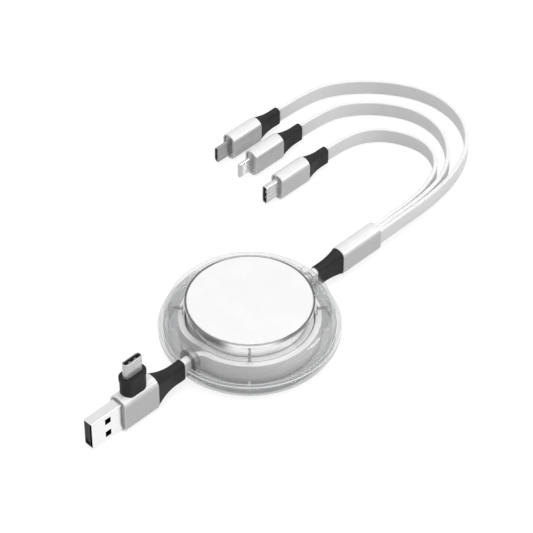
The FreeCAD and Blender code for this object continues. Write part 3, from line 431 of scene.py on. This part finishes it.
def clear_dome():
    """Clear, with a slight haze in the wall.

    Each fin has painted shade as a dark line down its inner edge, and a painted dark line and a painted
    highlight along its top.
    """
    finish = Finish("clear_dome")
    haze_share = 0.17
    highlight_share = 0.95
    marks = finish.effect(HANDLING, scale=160.0).outputs["Mask"]
    # Painted shade: the fins' inner edges, nearer the axis than FIN_INNER_RADIUS and below ROOF_CORNER, are
    # tinted dark grey.
    beyond_fins = finish.distance_beyond(FIN_INNER_RADIUS)
    clear = finish.calc("MAXIMUM", beyond_fins, finish.height_above(ROOF_CORNER))
    tint = finish.blend(clear, grey(0.4), PURE_WHITE)
    within = finish.calc("SUBTRACT", 1.0, finish.distance_beyond(FIN_OUTER_RADIUS))
    # Painted shade: a dark line along each fin's top.
    painted_shade_lines = finish.calc("MULTIPLY", finish.edge_line(*FIN_SHADE_LINE, EDGE_REACH), within)
    painted_shade_tint = finish.blend(painted_shade_lines, PURE_WHITE, grey(0.45))
    wear = finish.blend(marks, grey(0.992), PURE_WHITE)
    colour = finish.times(finish.times(tint, painted_shade_tint), wear)
    finish.colour(colour).gloss(marks, smooth=0.01, rough=0.03)
    finish.see_through(colour, squarely=0.98, edge_on=0.93)
    # Painted highlight: a white line along each fin's top.
    fin_highlight_mask = finish.calc("MULTIPLY", finish.edge_line(*FIN_HIGHLIGHT_LINE, EDGE_REACH), within)
    painted_highlights = finish.calc("MULTIPLY", fin_highlight_mask, highlight_share)
    haze = finish.calc("MULTIPLY", finish.distance_beyond(DOME_WALL_RADIUS), haze_share)
    finish.frosted(finish.calc("MAXIMUM", painted_highlights, haze))
    return finish.set(Transmission_Weight=1.0, IOR=1.3).material


def clear_guide(name, painted_end_shade, squarely, edge_on):
    """A clear arch at a port, with painted shade as dark as given at its two ends, where its wall is seen
    in full depth.
    """
    finish = Finish(f"{name}_guide")
    marks = finish.effect(HANDLING, scale=300.0).outputs["Mask"]
    low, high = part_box(f"{name}_port_guide")
    depth = 0.2 * MM
    soft = SOFT_EDGE / 2
    last = high[0] - depth
    first = low[0] + depth
    last_end = spread(finish.tree, finish.along("X"), last - soft, last)
    first_end = spread(finish.tree, finish.along("X"), first, first + soft, 1.0, 0.0)
    # Painted shade at the arch's two ends.
    shaded_ends = finish.calc("MAXIMUM", last_end, first_end)
    tint = finish.blend(shaded_ends, grey(0.96), painted_end_shade)
    colour = finish.times(tint, finish.blend(marks, cool_grey(0.95), PURE_WHITE))
    finish.colour(colour).gloss(marks, smooth=0.01, rough=0.03)
    finish.see_through(colour, squarely, edge_on)
    return finish.set(Transmission_Weight=1.0, IOR=1.49).material


def clear_tray():
    """Clear with a slight haze at the rim, and painted shade in the moat's floor: a smoke tint for the
    shadowed floor seen through it.

    The rim and the ribs have painted highlights along their edges.
    """
    finish = Finish("clear_tray")
    painted_floor_shade = (0.68, 0.685, 0.69)
    faint_smoke = (0.9, 0.905, 0.91)
    haze_share = 0.15
    rim_highlight_share = 0.75
    rib_highlight_share = 0.45
    marks = finish.effect(HANDLING, scale=160.0).outputs["Mask"]
    rim = finish.distance_beyond(RIM_RADIUS, RIM_SOFT_EDGE)
    # Painted shade: the moat's floor is tinted smoke grey, for the shadowed floor seen through it.
    clear = finish.calc("MAXIMUM", rim, finish.height_above(MOAT_FLOOR))
    tint = finish.blend(clear, painted_floor_shade, faint_smoke)
    colour = finish.times(tint, finish.blend(marks, grey(0.97), PURE_WHITE))
    finish.colour(colour).gloss(marks, smooth=0.01, rough=0.04)
    finish.see_through(colour, squarely=0.96, edge_on=0.75)
    # Painted highlights: white lines along the rim's top edges and the ribs' tops.
    outer_edge = finish.distance_beyond(RIM_OUTER_EDGE)
    inner_edge = finish.calc("SUBTRACT", 1.0, finish.distance_beyond(RIM_INNER_EDGE))
    rim_edges = finish.calc("MAXIMUM", outer_edge, inner_edge)
    top = finish.calc("MULTIPLY", finish.height_above(RIM_TOP), rim_highlight_share)
    painted_rib_highlights = finish.calc("MULTIPLY", finish.edge_line(*RIB_HIGHLIGHT_LINE, EDGE_REACH), rib_highlight_share)
    lines = finish.calc("MAXIMUM", finish.calc("MULTIPLY", rim_edges, top), painted_rib_highlights)
    finish.frosted(finish.calc("MAXIMUM", lines, finish.calc("MULTIPLY", rim, haze_share)))
    return finish.set(Transmission_Weight=1.0, IOR=1.3).material


def white_plastic(name, low, high, smooth, rough, grain, depth):
    """Pale moulded plastic between two shades and two glosses, with grain of a scale and depth."""
    finish = Finish(name)
    marks = finish.effect(HANDLING, scale=90.0).outputs["Mask"]
    finish.shades(marks, low, high).gloss(marks, smooth, rough)
    finish.relief(finish.effect(GRAIN, grain).outputs["Height"], depth)
    return finish


def white_lid():
    finish = white_plastic(
        "white_lid", grey(0.9), grey(0.93), smooth=0.16, rough=0.24, grain=1500.0, depth=0.004 * MM
    )
    return finish.set(Coat_Weight=0.15, Coat_Roughness=0.08).material


def white_cord():
    low = (0.9, 0.9, 0.895)
    high = (0.93, 0.93, 0.925)
    finish = white_plastic("white_cord", low, high, smooth=0.42, rough=0.55, grain=4000.0, depth=0.012 * MM)
    return finish.material


def white_spool():
    finish = white_plastic(
        "white_spool", grey(0.88), grey(0.92), smooth=0.35, rough=0.5, grain=3000.0, depth=0.01 * MM
    )
    return finish.material


def grey_core():
    finish = white_plastic(
        "grey_core", cool_grey(0.84), cool_grey(0.9), smooth=0.4, rough=0.5, grain=3000.0, depth=0.008 * MM
    )
    return finish.material


def dark_plastic(name, low, high, smooth, rough, grain, depth):
    """Black moulded plastic between two shades and two glosses, with grain of a scale and depth."""
    finish = Finish(name)
    marks = finish.effect(HANDLING, scale=220.0).outputs["Mask"]
    finish.shades(marks, low, high).gloss(marks, smooth, rough)
    finish.relief(finish.effect(GRAIN, grain).outputs["Height"], depth)
    return finish.set(Specular_IOR_Level=0.25).material


def drawn_metal(name, low, high, smooth, rough, depth, metallic=1.0):
    """Metal with fine drawn lines of a depth, between two shades and two glosses."""
    finish = Finish(name)
    lines = finish.effect(DRAWN, scale=5000.0)
    finish.shades(lines.outputs["Mask"], low, high).gloss(lines.outputs["Mask"], smooth, rough)
    finish.relief(lines.outputs["Height"], depth)
    return finish.set(Metallic=metallic).material


def spring_steel():
    low = (0.5, 0.51, 0.53)
    high = (0.62, 0.63, 0.65)
    return drawn_metal("spring_steel", low, high, smooth=0.2, rough=0.32, depth=0.006 * MM)


def plug_steel():
    low = cool_grey(0.8)
    high = cool_grey(0.86)
    return drawn_metal("plug_steel", low, high, smooth=0.14, rough=0.22, depth=0.004 * MM)


def satin_steel():
    low = cool_grey(0.6)
    high = cool_grey(0.68)
    return drawn_metal("satin_steel", low, high, smooth=0.2, rough=0.3, depth=0.004 * MM, metallic=0.45)


def grey_steel():
    low = cool_grey(0.34)
    high = cool_grey(0.4)
    return drawn_metal("grey_steel", low, high, smooth=0.2, rough=0.3, depth=0.004 * MM, metallic=0.45)


def gold_contact():
    low = (0.66, 0.62, 0.54)
    high = (0.74, 0.7, 0.62)
    return drawn_metal("gold_contact", low, high, smooth=0.14, rough=0.24, depth=0.003 * MM)


def black_relief():
    low = (0.012, 0.012, 0.013)
    high = (0.018, 0.018, 0.019)
    return dark_plastic("black_relief", low, high, smooth=0.55, rough=0.68, grain=3500.0, depth=0.02 * MM)


def black_liner():
    low = (0.012, 0.012, 0.013)
    high = (0.02, 0.02, 0.021)
    return dark_plastic("black_liner", low, high, smooth=0.35, rough=0.5, grain=4000.0, depth=0.01 * MM)


def blasted_aluminium():
    """Fine matt metal, with painted light: lighter on top and at the two ends, with painted shade on the
    upright sides.
    """
    finish = Finish("blasted_aluminium")
    marks = finish.effect(HANDLING, scale=140.0).outputs["Mask"]
    # Painted light: lighter on top and at the two ends, with painted shade on the upright sides.
    tint = finish.blend(finish.lit_top_or_end(), cool_grey(0.58), cool_grey(0.84))
    finish.colour(finish.times(tint, finish.blend(marks, grey(0.97), PURE_WHITE)))
    finish.gloss(marks, smooth=0.28, rough=0.36)
    finish.relief(finish.effect(GRAIN, scale=6000.0).outputs["Height"], distance=0.01 * MM)
    return finish.set(Metallic=0.12, Specular_IOR_Level=0.8).material


def bright_chrome():
    """A mirror flared by its shading and duller towards the ports, with painted dark reflections.

    The painted reflections make it greyer at the foot, dark at the lip and dark in streaks under the lip.
    """
    finish = Finish("bright_chrome")
    streak_fade = 1.4 * MM
    deep_streak = COLLAR_FOOT + 1.2 * MM
    thin_streak = COLLAR_FOOT + 4.0 * MM
    painted_streak_share = 0.9
    flare_slope = -0.36
    marks = finish.effect(HANDLING, scale=200.0).outputs["Mask"]
    # Painted dark reflections: a dark lip, a greyer foot and dark streaks under the lip.
    painted_dark_lip = finish.height_above(COLLAR_LIP, soft=0.15 * MM)
    port_sides = spread(finish.tree, finish.off_diagonal(), 7.0 * MM, 17.0 * MM)
    plain_sides = spread(finish.tree, finish.off_diagonal(), -19.0 * MM, -9.0 * MM, 1.0, 0.0)
    bright_foot = finish.calc("MULTIPLY", plain_sides, finish.height_above(COLLAR_FOOT, soft=0.6 * MM))
    above_foot = finish.calc("MAXIMUM", bright_foot, finish.height_above(COLLAR_FOOT, soft=3.3 * MM))
    painted_foot_shade = finish.blend(above_foot, cool_grey(0.6), PURE_WHITE)
    deep = finish.calc("MULTIPLY", port_sides, finish.height_above(deep_streak, streak_fade))
    thin = finish.calc("MULTIPLY", plain_sides, finish.height_above(thin_streak, streak_fade))
    painted_streaks = finish.calc("MAXIMUM", deep, thin)
    painted_dark_reflection = finish.calc("MAXIMUM", painted_dark_lip, finish.calc("MULTIPLY", painted_streaks, painted_streak_share))
    tint = finish.times(painted_foot_shade, finish.blend(painted_dark_reflection, PURE_WHITE, cool_grey(0.2)))
    finish.colour(finish.times(tint, finish.blend(marks, cool_grey(0.9), cool_grey(0.96))))
    dull = finish.calc("MAXIMUM", finish.calc("MULTIPLY", marks, 0.2), port_sides)
    finish.gloss(dull, smooth=0.22, rough=0.5)
    flare = finish.calc("MULTIPLY", finish.along("Z"), flare_slope)
    finish.relief(flare, distance=1.0)
    return finish.set(Metallic=1.0).material


def paint_solids():
    """Each carried-over solid gets the finish of its slot."""
    sleeves = [f"{end}_sleeve" for end in ENDS]
    cores = [f"{end}_core" for end in ENDS]
    reliefs = [f"{end}_relief" for end in ENDS]
    by_finish = [
        (clear_dome(), ["clear_cover"]),
        # The grey after each guide's name is the painted shade at its two ends.
        (clear_guide("host", cool_grey(0.45), squarely=0.9, edge_on=0.65), ["host_port_guide"]),
        (clear_guide("leads", cool_grey(0.95), squarely=0.98, edge_on=0.95), ["leads_port_guide"]),
        (clear_tray(), ["base_tray"]),
        (bright_chrome(), ["chrome_collar"]),
        (white_lid(), ["lid_disc"]),
        (WHITE_CORD, ["host_strand", "leads_strand", "wound_cable", "host_neck", "leads_neck"]),
        (white_spool(), ["spool_drum"]),
        (spring_steel(), ["mainspring", "latch_ball"]),
        (blasted_aluminium(), sleeves),
        (grey_core(), cores),
        (black_relief(), reliefs + ["post_collar"]),
        (plug_steel(), ["a_plug_shell", "tab_pads"]),
        (satin_steel(), ["post_shell", "usbc_shell", "tab_blade"]),
        (grey_steel(), ["micro_shell"]),
        (black_liner(), ["a_plug_tongue", "post_liner", "usbc_liner", "micro_liner"]),
        (gold_contact(), ["a_plug_contacts", "post_contacts", "usbc_contacts"]),
    ]
    for material, names in by_finish:
        for name in names:
            data = nodes[name].data
            data.materials.clear()
            data.materials.append(material)


# Flat cord

def smooth_line(name, route):
    """The points of a smooth curve that the route's points control."""
    data = bpy.data.curves.new(f"{name}_route", "CURVE")
    data.dimensions = "3D"
    data.resolution_u = 12
    spline = data.splines.new("NURBS")
    spline.points.add(len(route) - 1)
    for point, place in zip(spline.points, route):
        point.co = (*(Vector(place) * MM), 1.0)
    spline.order_u = 3
    spline.use_endpoint_u = True
    curve = bpy.data.objects.new(f"{name}_route", data)
    mesh = bpy.data.meshes.new_from_object(curve)
    line = [vertex.co.copy() for vertex in mesh.vertices]
    bpy.data.meshes.remove(mesh)
    bpy.data.objects.remove(curve)
    bpy.data.curves.remove(data)
    return line


def flat_section(thickness, width, corner, steps=4):
    """The cord's cut face: pairs of sideways and upright places, round at the corners."""
    painted_outline_mask = []
    for quarter in range(4):
        side = 1.0 if quarter in (0, 3) else -1.0
        upright = 1.0 if quarter in (0, 1) else -1.0
        centre = (side * (thickness / 2 - corner), upright * (width / 2 - corner))
        for step in range(steps + 1):
            angle = math.pi / 2 * (quarter + step / steps)
            painted_outline_mask.append((centre[0] + corner * math.cos(angle), centre[1] + corner * math.sin(angle)))
    return painted_outline_mask


def flat_cord(name, line, section):
    """A flat cord that stands on its edge along a line."""
    shape = bmesh.new()
    rings = []
    up = Vector((0.0, 0.0, 1.0))
    for index, point in enumerate(line):
        before = line[max(index - 1, 0)]
        after = line[min(index + 1, len(line) - 1)]
        ahead = (after - before).normalized()
        sideways = ahead.cross(up).normalized()
        upright = sideways.cross(ahead)
        rings.append([shape.verts.new(point + sideways * a + upright * b) for a, b in section])
    for ring, following in zip(rings, rings[1:]):
        for index in range(len(section)):
            ahead_index = (index + 1) % len(section)
            corners = (ring[index], ring[ahead_index], following[ahead_index], following[index])
            shape.faces.new(corners).smooth = True
    shape.faces.new(reversed(rings[0]))
    shape.faces.new(rings[-1])
    bmesh.ops.recalc_face_normals(shape, faces=shape.faces)
    data = bpy.data.meshes.new(name)
    shape.to_mesh(data)
    shape.free()
    data.materials.append(WHITE_CORD)
    piece = bpy.data.objects.new(name, data)
    bpy.context.scene.collection.objects.link(piece)
    return piece


def add_leads():
    """The three free leads, each along its own route and with its plug on it."""
    section = flat_section(LEAD_THICKNESS, CORD_WIDTH, LEAD_ROUND)
    for name, route in LEAD_ROUTES.items():
        line = smooth_line(name, route)
        lead = flat_cord(f"{name}_flat_lead", line, section)
        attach(lead, "leads_end")
        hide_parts(f"{name}_lead")


def add_tails():
    """The flat cord behind each neck, which draws out of the puck as its end is pulled."""
    section = flat_section(MAIN_THICKNESS, CORD_WIDTH, MAIN_ROUND)
    steps = 60
    for name, body, sign in (("host", "host_end", -1.0), ("leads", "leads_end", 1.0)):
        start = Vector((sign * PORT_INSIDE, 0.0, CORD_LINE))
        end = Vector((sign * NECK_END, 0.0, CORD_LINE))
        line = [start.lerp(end, step / steps) for step in range(steps + 1)]
        tail = flat_cord(f"{name}_flat_tail", line, section)
        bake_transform(tail)
        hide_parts(f"{name}_tail")


# Stage

def white_floor():
    """A white floor that keeps the object's shadow, and shows as white in metal and clear plastic."""
    data = bpy.data.meshes.new("floor")
    half = 3.0
    low = -0.3 * MM
    corners = [(-half, -half, low), (half, -half, low), (half, half, low), (-half, half, low)]
    data.from_pydata(corners, [], [(0, 1, 2, 3)])
    floor = bpy.data.objects.new("floor", data)
    bpy.context.scene.collection.objects.link(floor)
    material = bpy.data.materials.new("floor_white")
    material.use_nodes = True
    tree = material.node_tree
    tree.nodes.remove(tree.nodes["Principled BSDF"])
    diffuse = tree.nodes.new("ShaderNodeBsdfDiffuse")
    diffuse.inputs["Color"].default_value = (*grey(0.5), 1.0)
    faint = tree.nodes.new("ShaderNodeBsdfDiffuse")
    faint.inputs["Color"].default_value = (*grey(0.3), 1.0)
    glow = tree.nodes.new("ShaderNodeEmission")
    glow.inputs["Strength"].default_value = 0.8
    seen = tree.nodes.new("ShaderNodeAddShader")
    mix = tree.nodes.new("ShaderNodeMixShader")
    tree.links.new(faint.outputs["BSDF"], seen.inputs[0])
    tree.links.new(glow.outputs["Emission"], seen.inputs[1])
    tree.links.new(seen_by_lens(tree), mix.inputs["Fac"])
    tree.links.new(diffuse.outputs["BSDF"], mix.inputs[1])
    tree.links.new(seen.outputs["Shader"], mix.inputs[2])
    tree.links.new(mix.outputs["Shader"], tree.nodes["Material Output"].inputs["Surface"])
    data.materials.append(material)


def seen_by_lens(tree):
    """1 for rays from the camera, also by way of metal or clear plastic, and 0 for other light."""
    path = tree.nodes.new("ShaderNodeLightPath")
    either = tree.nodes.new("ShaderNodeMath")
    either.operation = "MAXIMUM"
    tree.links.new(path.outputs["Is Camera Ray"], either.inputs[0])
    tree.links.new(path.outputs["Is Glossy Ray"], either.inputs[1])
    any_of = tree.nodes.new("ShaderNodeMath")
    any_of.operation = "MAXIMUM"
    tree.links.new(either.outputs["Value"], any_of.inputs[0])
    tree.links.new(path.outputs["Is Transmission Ray"], any_of.inputs[1])
    return any_of.outputs["Value"]


def mirrored_room(tree):
    """The room as metal and clear edges show it: white, a little darker low down, dark behind the lens."""
    heading = tree.nodes.new("ShaderNodeTexCoord").outputs["Generated"]
    towards = tree.nodes.new("ShaderNodeVectorMath")
    towards.operation = "DOT_PRODUCT"
    towards.inputs[1].default_value = TO_LENS
    tree.links.new(heading, towards.inputs[0])
    behind = spread(tree, towards.outputs["Value"], 0.7, 0.94, 1.0, 0.05)
    parts = tree.nodes.new("ShaderNodeSeparateXYZ")
    tree.links.new(heading, parts.inputs["Vector"])
    low_down = spread(tree, parts.outputs["Z"], 0.3, 1.0, 0.82, 1.0)
    both = tree.nodes.new("ShaderNodeMath")
    both.operation = "MULTIPLY"
    tree.links.new(behind, both.inputs[0])
    tree.links.new(low_down, both.inputs[1])
    return both.outputs["Value"]


def white_world():
    """White to the lens, a mirrored room to metal and clear plastic, and a soft light on all else."""
    world = bpy.data.worlds.new("studio")
    bpy.context.scene.world = world
    world.use_nodes = True
    tree = world.node_tree
    light = tree.nodes["Background"]
    light.inputs["Color"].default_value = (*PURE_WHITE, 1.0)
    light.inputs["Strength"].default_value = 0.25
    mirrored = tree.nodes.new("ShaderNodeBackground")
    tree.links.new(mirrored_room(tree), mirrored.inputs["Color"])
    plain = tree.nodes.new("ShaderNodeBackground")
    plain.inputs["Color"].default_value = (*PURE_WHITE, 1.0)
    path = tree.nodes.new("ShaderNodeLightPath")
    by_way = tree.nodes.new("ShaderNodeMath")
    by_way.operation = "MAXIMUM"
    tree.links.new(path.outputs["Is Glossy Ray"], by_way.inputs[0])
    tree.links.new(path.outputs["Is Transmission Ray"], by_way.inputs[1])
    reflect = tree.nodes.new("ShaderNodeMixShader")
    tree.links.new(by_way.outputs["Value"], reflect.inputs["Fac"])
    tree.links.new(light.outputs["Background"], reflect.inputs[1])
    tree.links.new(mirrored.outputs["Background"], reflect.inputs[2])
    mix = tree.nodes.new("ShaderNodeMixShader")
    tree.links.new(path.outputs["Is Camera Ray"], mix.inputs["Fac"])
    tree.links.new(reflect.outputs["Shader"], mix.inputs[1])
    tree.links.new(plain.outputs["Background"], mix.inputs[2])
    tree.links.new(mix.outputs["Shader"], tree.nodes["World Output"].inputs["Surface"])


def soft_lamp(name, place, aim, size, power):
    """A rectangular soft box at a place, turned to what it aims at."""
    data = bpy.data.lights.new(name, "AREA")
    data.shape = "RECTANGLE"
    data.size = size[0]
    data.size_y = size[1]
    data.energy = power
    lamp = bpy.data.objects.new(name, data)
    lamp.location = place
    lamp.rotation_euler = (Vector(aim) - Vector(place)).to_track_quat("-Z", "Y").to_euler()
    bpy.context.scene.collection.objects.link(lamp)


def light_studio():
    """The white world, a broad soft box overhead and a small one at the right."""
    white_world()
    soft_lamp("top_box", place=(-0.1, -0.1, 1.3), aim=(0.02, 0.02, 0.0), size=(1.3, 1.3), power=15.0)
    soft_lamp("right_box", place=(0.9, -0.9, 0.7), aim=(0.04, 0.03, 0.0), size=(0.45, 0.35), power=5.2)


WHITE_CORD = white_cord()
set_camera()
add_leads()
add_tails()
paint_solids()
white_floor()
light_studio()
bpy.context.scene.view_settings.view_transform = "Standard"
